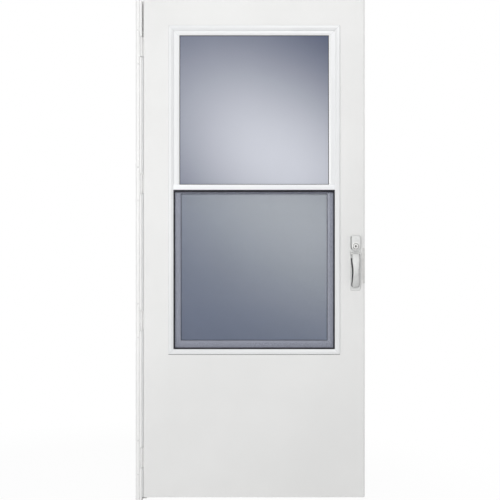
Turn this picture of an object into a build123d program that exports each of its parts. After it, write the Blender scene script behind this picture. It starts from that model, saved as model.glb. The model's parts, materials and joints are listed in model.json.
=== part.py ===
from build123d import *
import os

os.makedirs("parts", exist_ok=True)

# Storm door, hinged on the left as seen from outside, in millimetres.
# +X runs from the hinge side to the latch side, -Y faces outdoors and +Z is up.
# The origin is on the back face of the hinge rail's flange, level with the leaf's lower edge.

# Leaf: two folded skins over a solid core
leaf_width = 895.0
leaf_height = 2010.0
leaf_thickness = 32.0
leaf_proud = 8.0
skin = 1.0
hinge_edge_bevel = 4.0
latch_edge_bevel = 8.0
bevel_depth = 2.5
end_channel_depth = 22.0
channel_wall = 1.5

# Clearances: between pieces that only lie beside each other, and round turning pins
fit = 0.3
pin_fit = 0.05

# Hinge rail, an extruded Z section that is screwed to the trim beside the doorway
flange_width = 27.0
rail_wall = 2.0
lip_slope = 5.5
lip_height = 5.0
lip_width = 14.0
lip_edge = 1.0
rail_below_leaf = 14.0
rail_above_leaf = 3.0
hinge_gap = 5.0
back_leg_width = 16.0
back_leg_gap = 5.0
pile_width = 6.0
pile_gap = 0.8
pile_inset = 1.0
screw_hole_radius = 2.2
screw_from_hinge = 30.0
cover_groove = 1.0
cover_width = 11.5
cover_height = 7.0
cover_wall = 1.2
cover_end_gap = 4.0
clip_height = 2.6
clip_wall = 1.0
clip_gap = 0.8

# Hinges
hinge_count = 4
hinge_length = 76.0
lowest_hinge = 160.0
top_hinge_drop = 190.0
knuckle_radius = 6.0
knuckle_gap = 0.4
pin_radius = 2.5
hinge_plate = 1.6
pin_from_web = 3.0
edge_plate_reach = 20.0

# Window surrounds, clamped together through the leaf
hinge_stile = 102.0
latch_stile = 102.0
top_rail = 104.5
bottom_panel = 579.0
moulding_face = 19.5
moulding_height = 8.0
moulding_bevel = 9.5
moulding_bevel_drop = 4.5
moulding_edge = 1.5
moulding_overlap = 11.0
liner_wall = 2.0

# Sashes, in the tracks between the surrounds
track_base = 1.4
sash_in_track = 4.0
parting_fin = 1.5
sash_depth = 9.5
sash_lip = 3.5
sash_bevel = 8.0
sash_bevel_drop = 2.0
glass_thickness = 3.2
glass_bite = 6.0
gasket_thickness = 0.8
gasket_show = 2.5
upper_stile = 24.0
upper_top_rail = 19.0
meeting_rail_height = 20.5
meeting_rail_proud = 5.5
interlock_height = 5.0
interlock_groove = 1.5
interlock_step = 1.0
lower_opening = 644.0
lower_stile = 28.5
lower_bottom_rail = 33.5
lower_top_rail = 40.0
lower_sash_lap = 25.0

# Insect screen, below the upper sash in the same track
screen_bar = 10.0
screen_rim = 3.0
screen_depth = 7.0
screen_bar_depth = 3.7
mesh_thickness = 0.5
cord_width = 5.5
cord_thickness = 2.5

# Sash latches on the lower sash's bottom rail
sash_latch_width = 34.0
sash_latch_height = 11.0
sash_latch_depth = 6.0
sash_latch_inset = 60.0
finger_scoop = 4.0

# Lock set
handle_from_edge = 39.0
lock_height = 1014.0
plate_width = 44.0
plate_above_lock = 46.0
plate_below_lock = 179.0
plate_thickness = 5.0
plate_corner = 10.0
plate_edge = 2.5
lock_radius = 12.5
lock_proud = 2.0
lock_chamfer = 1.2
plug_radius = 6.5
keyway_width = 2.4
keyway_height = 8.0
keyway_depth = 6.0
housing_height = 14.0
housing_above_lock = 43.0
housing_corner = 9.0
housing_taper = 6.0
ear_thickness = 3.5
pull_pivot_below_lock = 30.0
pull_boss_radius = 6.0
pull_boss_gap = 1.5
pull_pin_radius = 2.0
pull_top_width = 30.0
pull_waist_width = 21.0
pull_end_width = 31.0
pull_grip_depth = 10.0
pull_projection = 30.0
pull_length = 140.0
pull_end_gap = 5.5
pull_rounding = 3.0
edge_plate_height = 141.0
edge_plate_below_lock = 78.5
edge_plate_back_margin = 4.0
latch_height = 24.0
latch_thickness = 12.0
latch_length = 20.0
latch_proud = 1.0
latch_slope = 5.0
latch_mortise = 60.0
lever_length = 105.0
lever_height = 18.0
lever_thickness = 9.0
lever_edge = 3.0
lever_standoff = 30.0
neck_radius = 8.0
rose_radius = 14.0
rose_height = 4.0
turn_width = 9.0
turn_height = 26.0
turn_reach = 14.0

# Places worked out from the sizes above
leaf_front = -leaf_proud
leaf_back = leaf_front + leaf_thickness
web_face = flange_width / 2
flange_edge = -flange_width / 2
leaf_left = web_face + hinge_gap
leaf_right = leaf_left + leaf_width
seam = (leaf_front + leaf_back) / 2
window_left = leaf_left + hinge_stile
window_right = leaf_right - latch_stile
window_middle = (window_left + window_right) / 2
window_width = window_right - window_left
window_bottom = bottom_panel
window_top = leaf_height - top_rail
cut_width = window_width - 2 * moulding_overlap
cut_bottom = window_bottom + moulding_overlap
cut_top = window_top - moulding_overlap
sight_width = window_width - 2 * moulding_face
sight_bottom = window_bottom + moulding_face
sight_top = window_top - moulding_face
sash_width = sight_width + 2 * sash_in_track
outer_track_front = leaf_front + fit
outer_track_back = outer_track_front + sash_depth
inner_track_front = outer_track_back + parting_fin + 2 * fit
inner_track_back = inner_track_front + sash_depth
meeting_level = sight_bottom + lower_opening
hinge_pitch = (leaf_height - lowest_hinge - top_hinge_drop) / (hinge_count - 1)
hinge_levels = [lowest_hinge + n * hinge_pitch for n in range(hinge_count)]
hinge_half = hinge_length / 2
pin_x = web_face - pin_from_web
pin_y = -rail_wall - knuckle_gap - knuckle_radius
handle_x = leaf_right - handle_from_edge
plate_bottom = lock_height - plate_below_lock
plate_top = lock_height + plate_above_lock
plate_front = leaf_front - plate_thickness
housing_front = plate_front - housing_height
inner_plate_back = leaf_back + plate_thickness
pivot_y = plate_front - pull_boss_radius - pull_boss_gap
pivot_z = lock_height - pull_pivot_below_lock
latch_level = lock_height - edge_plate_below_lock


def outdoors(y, x=0.0, z=0.0):
    """A plane seen from outdoors: its x is the door's +X, its y is +Z, and it faces -Y."""
    return Plane(origin=(x, y, z), x_dir=(1, 0, 0), z_dir=(0, -1, 0))


def sideways(x, y=0.0, z=0.0):
    """A plane across the door: its x is the door's +Y, its y is +Z, and it faces +X."""
    return Plane(origin=(x, y, z), x_dir=(0, 1, 0), z_dir=(1, 0, 0))


def level(z):
    return Plane.XY.offset(z)


def opening(width, bottom, top):
    with Locations((0, (bottom + top) / 2)):
        Rectangle(width, top - bottom)


def ring(width, bottom, top, bars):
    """A rectangular ring about the plane's middle line. Its bars are the side, lower and upper widths."""
    side, low, high = bars
    opening(width, bottom, top)
    with Locations((0, (bottom + low + top - high) / 2)):
        Rectangle(width - 2 * side, top - bottom - low - high, mode=Mode.SUBTRACT)


def even(bar):
    return (bar, bar, bar)


def write(part, name):
    part.label = name
    export_step(part, f"parts/{name}.step")


# Hinge rail: raised lip and flange on the trim, web beside the leaf's edge, leg behind the leaf
leg_front = leaf_back + back_leg_gap
lip_end = flange_edge + lip_width
screw_x = flange_edge + (lip_slope + lip_width) / 2
screw_offset = hinge_half + screw_from_hinge
rail_bottom = -rail_below_leaf
rail_top = leaf_height + rail_above_leaf
cover_left = lip_end + cover_groove
cover_middle = cover_left + cover_width / 2
cover_spans = []
span_start = rail_bottom
for hinge_level in hinge_levels:
    cover_spans.append((span_start, hinge_level - hinge_half - cover_end_gap))
    span_start = hinge_level + hinge_half + cover_end_gap
cover_spans.append((span_start, rail_top))
with BuildPart() as hinge_rail:
    with BuildSketch(level(rail_bottom)):
        with BuildLine():
            Polyline(
                (flange_edge, 0),
                (flange_edge, -lip_edge),
                (flange_edge + lip_slope, -lip_height),
                (lip_end, -lip_height),
                (lip_end, -rail_wall),
                (web_face, -rail_wall),
                (web_face, leg_front),
                (web_face + back_leg_width, leg_front),
                (web_face + back_leg_width, leg_front + rail_wall),
                (web_face - rail_wall, leg_front + rail_wall),
                (web_face - rail_wall, 0),
                close=True,
            )
        make_face()
    extrude(amount=rail_top - rail_bottom)
    for low, high in cover_spans:
        with BuildSketch(level(low)):
            for hand in (-1, 1):
                clip_x = cover_middle + hand * (cover_width / 2 - cover_wall - clip_gap)
                with Locations((clip_x, -rail_wall)):
                    Rectangle(
                        clip_wall,
                        clip_height,
                        align=(Align.MAX if hand > 0 else Align.MIN, Align.MAX),
                    )
        extrude(amount=high - low)
    for hinge_level in hinge_levels:
        for side in (-1, 1):
            with Locations(outdoors(0, screw_x, hinge_level + side * screw_offset)):
                Hole(screw_hole_radius, depth=lip_height)
write(hinge_rail.part, "hinge_rail")

# Rounded strips that snap over the rail's clips, one between each two hinges
with BuildPart() as rail_cover:
    for low, high in cover_spans:
        with BuildSketch(level(low)):
            for radius_change, mode in ((0, Mode.ADD), (cover_wall, Mode.SUBTRACT)):
                with BuildLine():
                    crown = EllipticalCenterArc(
                        (cover_middle, -rail_wall),
                        cover_width / 2 - radius_change,
                        cover_height - radius_change,
                        start_angle=180,
                        arc_size=180,
                    )
                    Line(crown @ 1, crown @ 0)
                make_face(mode=mode)
        extrude(amount=high - low)
write(rail_cover.part, "rail_cover")

# Pile strip on the back leg, which the leaf's indoor face brushes
with BuildPart() as rail_pile_strip:
    with BuildSketch(level(0)):
        with Locations((web_face + back_leg_width - pile_inset, leg_front)):
            Rectangle(pile_width, back_leg_gap - pile_gap, align=(Align.MAX, Align.MAX))
    extrude(amount=leaf_height)
write(rail_pile_strip.part, "rail_pile_strip")

# Hinges: a plate with two knuckles and the pin on the rail, a plate with the middle knuckle on the leaf
third = hinge_length / 3
knuckle_back = pin_y + knuckle_radius
plate_on_edge_front = leaf_front + bevel_depth
for number, hinge_level in enumerate(hinge_levels, start=1):
    low = hinge_level - hinge_half
    with BuildPart() as rail_hinge_leaf:
        with BuildSketch(level(low)):
            with Locations((pin_x, -rail_wall)):
                Rectangle(pin_x - lip_end - fit, hinge_plate, align=(Align.MAX, Align.MAX))
            with Locations((pin_x, pin_y)):
                Circle(knuckle_radius)
                Rectangle(knuckle_radius, -rail_wall - pin_y, align=(Align.MAX, Align.MIN))
        extrude(amount=hinge_length)
        with BuildSketch(level(low + third - knuckle_gap)):
            with Locations((pin_x, pin_y)):
                Circle(2 * knuckle_radius)
        extrude(amount=third + 2 * knuckle_gap, mode=Mode.SUBTRACT)
        with BuildSketch(level(low)):
            with Locations((pin_x, pin_y)):
                Circle(pin_radius)
        extrude(amount=hinge_length)
    write(rail_hinge_leaf.part, f"rail_hinge_leaf_{number}")

    with BuildPart() as door_hinge_leaf:
        with BuildSketch(level(low)):
            with Locations((leaf_left, plate_on_edge_front)):
                Rectangle(
                    hinge_plate,
                    knuckle_back + edge_plate_reach - plate_on_edge_front,
                    align=(Align.MAX, Align.MIN),
                )
        extrude(amount=hinge_length)
        with BuildSketch(level(low + third)):
            with Locations((pin_x, pin_y)):
                Circle(knuckle_radius)
            with Locations((pin_x, knuckle_back)):
                Rectangle(leaf_left - pin_x, hinge_plate, align=(Align.MIN, Align.MAX))
            with Locations((pin_x, pin_y)):
                Circle(pin_radius + pin_fit, mode=Mode.SUBTRACT)
        extrude(amount=third)
    write(door_hinge_leaf.part, f"door_hinge_leaf_{number}")

# Skins: one folded sheet outdoors with both long edges bevelled, and a plain one indoors
latch_opening = sideways(leaf_right, seam, latch_level)
edge_plate_bottom = latch_level - edge_plate_height / 2
edge_plate_back = leaf_back - edge_plate_back_margin
outer_bevels = [
    (leaf_left, leaf_front + bevel_depth),
    (leaf_left + hinge_edge_bevel, leaf_front),
    (leaf_right - latch_edge_bevel, leaf_front),
    (leaf_right, leaf_front + bevel_depth),
]
inner_bevels = [
    (leaf_right - skin, leaf_front + bevel_depth + skin),
    (leaf_right - latch_edge_bevel - skin, leaf_front + skin),
    (leaf_left + hinge_edge_bevel + skin, leaf_front + skin),
    (leaf_left + skin, leaf_front + bevel_depth + skin),
]
with BuildPart() as exterior_skin:
    with BuildSketch(level(0)):
        with BuildLine():
            Polyline(
                (leaf_left, seam),
                *outer_bevels,
                (leaf_right, seam),
                (leaf_right - skin, seam),
                *inner_bevels,
                (leaf_left + skin, seam),
                close=True,
            )
        make_face()
    extrude(amount=leaf_height)
    with BuildSketch(outdoors(seam, window_middle)):
        opening(cut_width, cut_bottom, cut_top)
    extrude(amount=leaf_thickness, mode=Mode.SUBTRACT)
    with Locations(outdoors(leaf_front, handle_x, lock_height)):
        Hole(lock_radius + fit, depth=leaf_thickness / 2)
    with BuildSketch(level(edge_plate_bottom - fit)):
        with Locations((leaf_right, leaf_front)):
            Rectangle(latch_edge_bevel + skin + fit, leaf_thickness, align=(Align.MAX, Align.MIN))
    extrude(amount=edge_plate_height + 2 * fit, mode=Mode.SUBTRACT)
write(exterior_skin.part, "exterior_skin")

with BuildPart() as interior_skin:
    with BuildSketch(level(0)):
        with Locations((leaf_left, seam)):
            Rectangle(leaf_width, leaf_back - seam, align=(Align.MIN, Align.MIN))
        with Locations((leaf_left + skin, seam)):
            Rectangle(
                leaf_width - 2 * skin,
                leaf_back - seam - skin,
                align=(Align.MIN, Align.MIN),
                mode=Mode.SUBTRACT,
            )
    extrude(amount=leaf_height)
    with BuildSketch(outdoors(leaf_back, window_middle)):
        opening(cut_width, cut_bottom, cut_top)
    extrude(amount=leaf_thickness / 2, mode=Mode.SUBTRACT)
    with Locations(outdoors(leaf_back, handle_x, lock_height)):
        Hole(lock_radius + fit, depth=leaf_thickness / 2)
    with BuildSketch(level(edge_plate_bottom - fit)):
        with Locations((leaf_right, seam)):
            Rectangle(skin, edge_plate_back + fit - seam, align=(Align.MAX, Align.MIN))
    extrude(amount=edge_plate_height + 2 * fit, mode=Mode.SUBTRACT)
write(interior_skin.part, "interior_skin")

# Solid core inside the skins: two stiles, a top rail and a bottom panel round the window
core_left = leaf_left + skin
core_right = leaf_right - skin
core_front = leaf_front + skin
core_back = leaf_back - skin
core_bottom = end_channel_depth
core_top = leaf_height - end_channel_depth
cut_left = window_middle - cut_width / 2
cut_right = window_middle + cut_width / 2
for name, edge, inside, bevel in (
    ("core_hinge_stile", core_left, cut_left, hinge_edge_bevel),
    ("core_latch_stile", core_right, cut_right, -latch_edge_bevel),
):
    with BuildPart() as core_stile:
        with BuildSketch(level(core_bottom)):
            with BuildLine():
                Polyline(
                    (edge, core_front + bevel_depth),
                    (edge + bevel, core_front),
                    (inside, core_front),
                    (inside, core_back),
                    (edge, core_back),
                    close=True,
                )
            make_face()
        extrude(amount=core_top - core_bottom)
        if name == "core_latch_stile":
            with Locations(outdoors(core_front, handle_x, lock_height)):
                Hole(lock_radius + fit, depth=leaf_thickness)
            with BuildSketch(latch_opening):
                Rectangle(latch_thickness + 2 * fit, latch_height + 2 * fit)
            extrude(amount=-latch_mortise, mode=Mode.SUBTRACT)
    write(core_stile.part, name)

for name, low, high in (
    ("core_bottom_panel", core_bottom, cut_bottom),
    ("core_top_rail", cut_top, core_top),
):
    with BuildPart() as core_piece:
        with BuildSketch(outdoors(core_back, window_middle)):
            opening(cut_width, low, high)
        extrude(amount=core_back - core_front)
    write(core_piece.part, name)

# Channels that close the leaf's lower and upper ends between the skins
channel_start = core_left + hinge_edge_bevel
channel_end = core_right - latch_edge_bevel
core_middle = (core_front + core_back) / 2
for name, outer_end, inward in (
    ("bottom_channel", 0, 1),
    ("top_channel", leaf_height, -1),
):
    with BuildPart() as end_channel:
        with BuildSketch(sideways(channel_start)):
            with Locations((core_middle, outer_end + inward * end_channel_depth / 2)):
                Rectangle(core_back - core_front, end_channel_depth)
            with Locations((core_middle, outer_end + inward * (end_channel_depth + channel_wall) / 2)):
                Rectangle(
                    core_back - core_front - 2 * channel_wall,
                    end_channel_depth - channel_wall,
                    mode=Mode.SUBTRACT,
                )
        extrude(amount=channel_end - channel_start)
    write(end_channel.part, name)

# Window surrounds: a bevelled moulding on each face of the leaf and a liner that runs into the cut-out
for name, face, outward in (
    ("outer_window_surround", leaf_front, -1),
    ("inner_window_surround", leaf_back, 1),
):
    crest = face + outward * moulding_height
    with BuildPart() as surround:
        with BuildSketch(outdoors(face, window_middle)):
            ring(window_width, window_bottom, window_top, even(moulding_face))
        extrude(amount=-outward * moulding_height)
        crest_face = surround.faces().sort_by(Axis.Y)[0 if outward < 0 else -1]
        chamfer(crest_face.outer_wire().edges(), length=moulding_edge)
        with BuildSketch(outdoors(crest - outward * moulding_bevel_drop, window_middle)):
            opening(sight_width, sight_bottom, sight_top)
        with BuildSketch(outdoors(crest, window_middle)):
            opening(
                sight_width + 2 * moulding_bevel,
                sight_bottom - moulding_bevel,
                sight_top + moulding_bevel,
            )
        loft(mode=Mode.SUBTRACT)
        with BuildSketch(outdoors(face, window_middle)):
            ring(cut_width - 2 * fit, cut_bottom + fit, cut_top - fit, even(liner_wall))
        extrude(amount=outward * (leaf_thickness / 2 - fit / 2))
    write(surround.part, name)

# Sash tracks: a strip on each side liner, with a fin between the sashes and one behind them
track_bottom = cut_bottom + 2 * fit + liner_wall
track_top = cut_top - 2 * fit - liner_wall
liner_inside = cut_width / 2 - fit - liner_wall
fin_reach = liner_inside - sight_width / 2
with BuildPart() as sash_tracks:
    with BuildSketch(level(track_bottom)):
        for hand, wall_side in ((-1, Align.MIN), (1, Align.MAX)):
            with Locations((window_middle + hand * liner_inside, outer_track_front)):
                Rectangle(track_base, leaf_back - outer_track_front, align=(wall_side, Align.MIN))
            for sash_back in (outer_track_back, inner_track_back):
                with Locations((window_middle + hand * liner_inside, sash_back + fit)):
                    Rectangle(fin_reach, parting_fin, align=(wall_side, Align.MIN))
    extrude(amount=track_top - track_bottom)
write(sash_tracks.part, "sash_tracks")

# Sashes: the upper in the outer track and the lower in the inner one, each with gasket, glass and bead
lower_bottom = sight_bottom - sash_in_track
lower_top = meeting_level + lower_sash_lap
for name, front, bottom, top, bars in (
    (
        "upper",
        outer_track_front,
        meeting_level,
        sight_top + sash_in_track,
        (upper_stile + sash_in_track, meeting_rail_height, upper_top_rail + sash_in_track),
    ),
    (
        "lower",
        inner_track_front,
        lower_bottom,
        lower_top,
        (lower_stile + sash_in_track, lower_bottom_rail + sash_in_track, lower_top_rail),
    ),
):
    side, low, high = bars
    back = front + sash_depth
    glass_front = front + sash_lip + gasket_thickness
    glass_back = glass_front + glass_thickness
    pane_width = sash_width - 2 * side + 2 * glass_bite
    pane_bottom = bottom + low - glass_bite
    pane_top = top - high + glass_bite
    rebated = tuple(bar - glass_bite - fit for bar in bars)
    with BuildPart() as sash_frame:
        with BuildSketch(outdoors(front + sash_lip, window_middle)):
            ring(sash_width, bottom, top, bars)
        extrude(amount=sash_lip)
        with BuildSketch(outdoors(front + sash_bevel_drop, window_middle)):
            opening(sash_width - 2 * side, bottom + low, top - high)
        with BuildSketch(outdoors(front, window_middle)):
            opening(
                sash_width - 2 * side + 2 * sash_bevel,
                bottom + low - sash_bevel,
                top - high + sash_bevel,
            )
        loft(mode=Mode.SUBTRACT)
        with BuildSketch(outdoors(back, window_middle)):
            ring(sash_width, bottom, top, rebated)
        extrude(amount=sash_depth - sash_lip)
    write(sash_frame.part, f"{name}_sash_frame")

    with BuildPart() as gasket:
        with BuildSketch(outdoors(glass_front, window_middle)):
            ring(pane_width, pane_bottom, pane_top, even(glass_bite + gasket_show))
        extrude(amount=gasket_thickness)
    write(gasket.part, f"{name}_glass_gasket")

    with BuildPart() as pane:
        with BuildSketch(outdoors(glass_back, window_middle)):
            opening(pane_width, pane_bottom, pane_top)
        extrude(amount=glass_thickness)
    write(pane.part, f"{name}_glass")

    with BuildPart() as bead:
        with BuildSketch(outdoors(back, window_middle)):
            ring(pane_width, pane_bottom, pane_top, even(glass_bite))
        extrude(amount=back - glass_back)
    write(bead.part, f"{name}_glazing_bead")

# Meeting rail: a stepped bar across the window, with a groove above its lower lip
with BuildPart() as meeting_rail:
    rail_front = outer_track_front - meeting_rail_proud
    with BuildSketch(sideways(window_middle, outer_track_front, meeting_level)):
        with BuildLine():
            Polyline(
                (0, 0),
                (-meeting_rail_proud - interlock_step, 0),
                (-meeting_rail_proud - interlock_step, interlock_height),
                (-meeting_rail_proud / 2, interlock_height),
                (-meeting_rail_proud / 2, interlock_height + interlock_groove),
                (-meeting_rail_proud, interlock_height + interlock_groove),
                (-meeting_rail_proud, meeting_rail_height - interlock_step),
                (-meeting_rail_proud + interlock_step, meeting_rail_height),
                (0, meeting_rail_height),
                close=True,
            )
        make_face()
    extrude(amount=sight_width / 2 - fit, both=True)
write(meeting_rail.part, "meeting_rail")

# Insect screen below the upper sash: bar frame, mesh, and the cord that holds the mesh in
screen_back = outer_track_front + screen_depth
screen_bottom = lower_bottom
screen_top = meeting_level - fit
mesh_back = screen_back - screen_bar_depth
mesh_inset = screen_rim + fit
with BuildPart() as screen_frame:
    with BuildSketch(outdoors(screen_back, window_middle)):
        ring(sash_width, screen_bottom, screen_top, even(screen_bar))
    extrude(amount=screen_bar_depth)
    with BuildSketch(outdoors(mesh_back, window_middle)):
        ring(sash_width, screen_bottom, screen_top, even(screen_rim))
    extrude(amount=mesh_back - outer_track_front)
write(screen_frame.part, "screen_frame")

with BuildPart() as screen_mesh:
    with BuildSketch(outdoors(mesh_back, window_middle)):
        opening(sash_width - 2 * mesh_inset, screen_bottom + mesh_inset, screen_top - mesh_inset)
    extrude(amount=mesh_thickness)
write(screen_mesh.part, "screen_mesh")

with BuildPart() as screen_cord:
    with BuildSketch(outdoors(mesh_back - mesh_thickness, window_middle)):
        ring(
            sash_width - 2 * mesh_inset,
            screen_bottom + mesh_inset,
            screen_top - mesh_inset,
            even(cord_width),
        )
    extrude(amount=cord_thickness)
write(screen_cord.part, "screen_cord")

# Two finger latches on the indoor face of the lower sash's bottom rail
with BuildPart() as sash_latches:
    latch_z = sight_bottom + lower_bottom_rail / 2
    with BuildSketch(outdoors(inner_track_back, window_middle, latch_z)):
        for hand in (-1, 1):
            with Locations((hand * (sight_width / 2 - sash_latch_inset), 0)):
                Rectangle(sash_latch_width, sash_latch_height)
    extrude(amount=-sash_latch_depth)
    for hand in (-1, 1):
        scoop_x = window_middle + hand * (sight_width / 2 - sash_latch_inset)
        with BuildSketch(outdoors(inner_track_back + sash_latch_depth, scoop_x, latch_z)):
            Rectangle(sash_latch_width / 2, finger_scoop)
        extrude(amount=sash_latch_depth / 2, mode=Mode.SUBTRACT)
write(sash_latches.part, "sash_latches")

# Outer handle plate: rounded plate, raised housing round the lock, and two ears that carry the pull
ear_inside = pull_top_width / 2 + fit
plate_middle = (plate_bottom + plate_top) / 2
with BuildPart() as outer_handle_plate:
    with BuildSketch(outdoors(leaf_front, handle_x, plate_middle)):
        RectangleRounded(plate_width, plate_top - plate_bottom, plate_corner)
    extrude(amount=plate_thickness)
    chamfer(outer_handle_plate.faces().sort_by(Axis.Y)[0].edges(), length=plate_edge)
    with BuildSketch(outdoors(plate_front, handle_x, lock_height)) as housing:
        Circle(ear_inside + ear_thickness)
        Rectangle(
            2 * (ear_inside + ear_thickness),
            housing_above_lock,
            align=(Align.CENTER, Align.MIN),
        )
        fillet(housing.vertices().group_by(Axis.Y)[-1], radius=housing_corner)
    extrude(amount=housing_height, taper=housing_taper)
    for hand in (-1, 1):
        with BuildSketch(sideways(handle_x + hand * ear_inside, pivot_y, pivot_z)):
            Circle(pull_boss_radius)
            Rectangle(plate_front - pivot_y, 2 * pull_boss_radius, align=(Align.MIN, Align.CENTER))
            Circle(pull_pin_radius + pin_fit, mode=Mode.SUBTRACT)
        extrude(amount=hand * ear_thickness)
    with Locations(outdoors(leaf_front, handle_x, lock_height)):
        Hole(lock_radius + fit, depth=leaf_thickness)
write(outer_handle_plate.part, "outer_handle_plate")

with BuildPart() as pull_pin:
    with BuildSketch(sideways(handle_x, pivot_y, pivot_z)):
        Circle(pull_pin_radius)
    extrude(amount=ear_inside + ear_thickness, both=True)
write(pull_pin.part, "pull_pin")

# Pull: a bowed grip, cut to a waisted outline that flares to its free lower end
with BuildPart() as pull_handle:
    grip_end_y = plate_front - pull_end_gap - pull_grip_depth / 2
    grip_end_z = pivot_z - pull_length + pull_grip_depth / 2
    with BuildSketch(sideways(handle_x)):
        with BuildLine():
            ThreePointArc(
                (pivot_y, pivot_z),
                (plate_front - pull_projection, (pivot_z + grip_end_z) / 2),
                (grip_end_y, grip_end_z),
            )
        trace(line_width=pull_grip_depth)
        with Locations((pivot_y, pivot_z)):
            Circle(pull_boss_radius)
        with Locations((grip_end_y, grip_end_z)):
            Circle(pull_grip_depth / 2)
    extrude(amount=pull_end_width, both=True)
    flare_z = -pull_length + pull_end_width / 2
    with BuildSketch(outdoors(0, handle_x, pivot_z)):
        with BuildLine():
            left = ThreePointArc(
                (-pull_top_width / 2, pull_boss_radius),
                (-pull_waist_width / 2, flare_z / 2),
                (-pull_end_width / 2, flare_z),
            )
            end = ThreePointArc(left @ 1, (0, -pull_length), (pull_end_width / 2, flare_z))
            right = ThreePointArc(
                end @ 1,
                (pull_waist_width / 2, flare_z / 2),
                (pull_top_width / 2, pull_boss_radius),
            )
            Line(right @ 1, left @ 0)
        make_face()
    extrude(amount=leaf_width, mode=Mode.INTERSECT)
    sides = pull_handle.edges().filter_by(
        lambda edge: edge.length > pull_length / 2 and abs(edge.center().X - handle_x) > 1
    )
    chamfer(sides, length=pull_rounding)
    with BuildSketch(sideways(handle_x, pivot_y, pivot_z)):
        Circle(pull_pin_radius + pin_fit)
    extrude(amount=pull_end_width, both=True, mode=Mode.SUBTRACT)
write(pull_handle.part, "pull_handle")

# Lock cylinder through the leaf, with the plug that the key turns
cylinder_front = housing_front - lock_proud
with BuildPart() as lock_cylinder:
    with BuildSketch(outdoors(inner_plate_back, handle_x, lock_height)):
        Circle(lock_radius)
    extrude(amount=inner_plate_back - cylinder_front)
    chamfer(lock_cylinder.faces().sort_by(Axis.Y)[0].edges(), length=lock_chamfer)
    with BuildSketch(outdoors(inner_plate_back, handle_x, lock_height)):
        Circle(plug_radius + pin_fit)
    extrude(amount=inner_plate_back - cylinder_front, mode=Mode.SUBTRACT)
write(lock_cylinder.part, "lock_cylinder")

with BuildPart() as lock_plug:
    with BuildSketch(outdoors(inner_plate_back, handle_x, lock_height)):
        Circle(plug_radius)
    extrude(amount=inner_plate_back - cylinder_front)
    with BuildSketch(outdoors(cylinder_front, handle_x, lock_height)):
        Rectangle(keyway_width, keyway_height)
        with Locations((0, keyway_height / 4)):
            Circle(keyway_width)
    extrude(amount=-keyway_depth, mode=Mode.SUBTRACT)
write(lock_plug.part, "lock_plug")

# Edge plate, let in flush with the skins, and the latch bolt drawn back in it
with BuildPart() as latch_edge_plate:
    with BuildSketch(level(edge_plate_bottom)):
        with BuildLine():
            Polyline(
                (leaf_right - latch_edge_bevel, leaf_front),
                (leaf_right, leaf_front + bevel_depth),
                (leaf_right, edge_plate_back),
                (leaf_right - skin, edge_plate_back),
                (leaf_right - skin, leaf_front + bevel_depth + skin),
                (leaf_right - latch_edge_bevel - skin, leaf_front + skin),
                (leaf_right - latch_edge_bevel - skin, leaf_front),
                close=True,
            )
        make_face()
    extrude(amount=edge_plate_height)
    with BuildSketch(latch_opening):
        Rectangle(latch_thickness + 2 * fit, latch_height + 2 * fit)
    extrude(amount=-2 * skin, mode=Mode.SUBTRACT)
write(latch_edge_plate.part, "latch_edge_plate")

with BuildPart() as latch_bolt:
    with BuildSketch(level(latch_level - latch_height / 2)):
        with BuildLine():
            Polyline(
                (leaf_right - latch_length, seam - latch_thickness / 2),
                (leaf_right + latch_proud, seam - latch_thickness / 2),
                (leaf_right + latch_proud, seam),
                (leaf_right - latch_slope, seam + latch_thickness / 2),
                (leaf_right - latch_length, seam + latch_thickness / 2),
                close=True,
            )
        make_face()
    extrude(amount=latch_height)
write(latch_bolt.part, "latch_bolt")

# Indoors: plate, lever and thumb turn
with BuildPart() as inner_handle_plate:
    with BuildSketch(outdoors(leaf_back, handle_x, plate_middle)):
        RectangleRounded(plate_width, plate_top - plate_bottom, plate_corner)
    extrude(amount=-plate_thickness)
    chamfer(inner_handle_plate.faces().sort_by(Axis.Y)[-1].edges(), length=plate_edge)
    with Locations(outdoors(leaf_back, handle_x, lock_height)):
        Hole(lock_radius + fit, depth=leaf_thickness)
write(inner_handle_plate.part, "inner_handle_plate")

with BuildPart() as inner_lever:
    lever_front = inner_plate_back + lever_standoff
    with BuildSketch(outdoors(inner_plate_back, handle_x, latch_level)):
        Circle(rose_radius)
    extrude(amount=-rose_height)
    with BuildSketch(outdoors(inner_plate_back, handle_x, latch_level)):
        Circle(neck_radius)
    extrude(amount=-lever_standoff)
    with BuildSketch(outdoors(lever_front, handle_x, latch_level)):
        Circle(lever_height / 2)
        with Locations((-lever_length + lever_height, 0)):
            Circle(lever_height / 3)
        make_hull()
    extrude(amount=-lever_thickness)
    chamfer(inner_lever.faces().sort_by(Axis.Y)[-1].edges(), length=lever_edge)
write(inner_lever.part, "inner_lever")

with BuildPart() as inner_thumb_turn:
    with BuildSketch(outdoors(inner_plate_back, handle_x, lock_height)):
        Circle(rose_radius)
    extrude(amount=-rose_height)
    with BuildSketch(outdoors(inner_plate_back + rose_height, handle_x, lock_height)):
        SlotOverall(turn_height, turn_width, rotation=90)
    extrude(amount=-turn_reach)
write(inner_thumb_turn.part, "inner_thumb_turn")
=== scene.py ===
# %% [markdown]
# A storm door hangs outside an entrance door. This one has a white leaf with a sliding window in its upper
# part, a lockable pull on the right and a long hinge rail on the left that is screwed to the doorway's trim.
# The solid model already has every part at its true size and place, so it comes in first and stays as it is.
# What Blender adds is the finish of each surface, the small fittings, the light and the camera.

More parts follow.
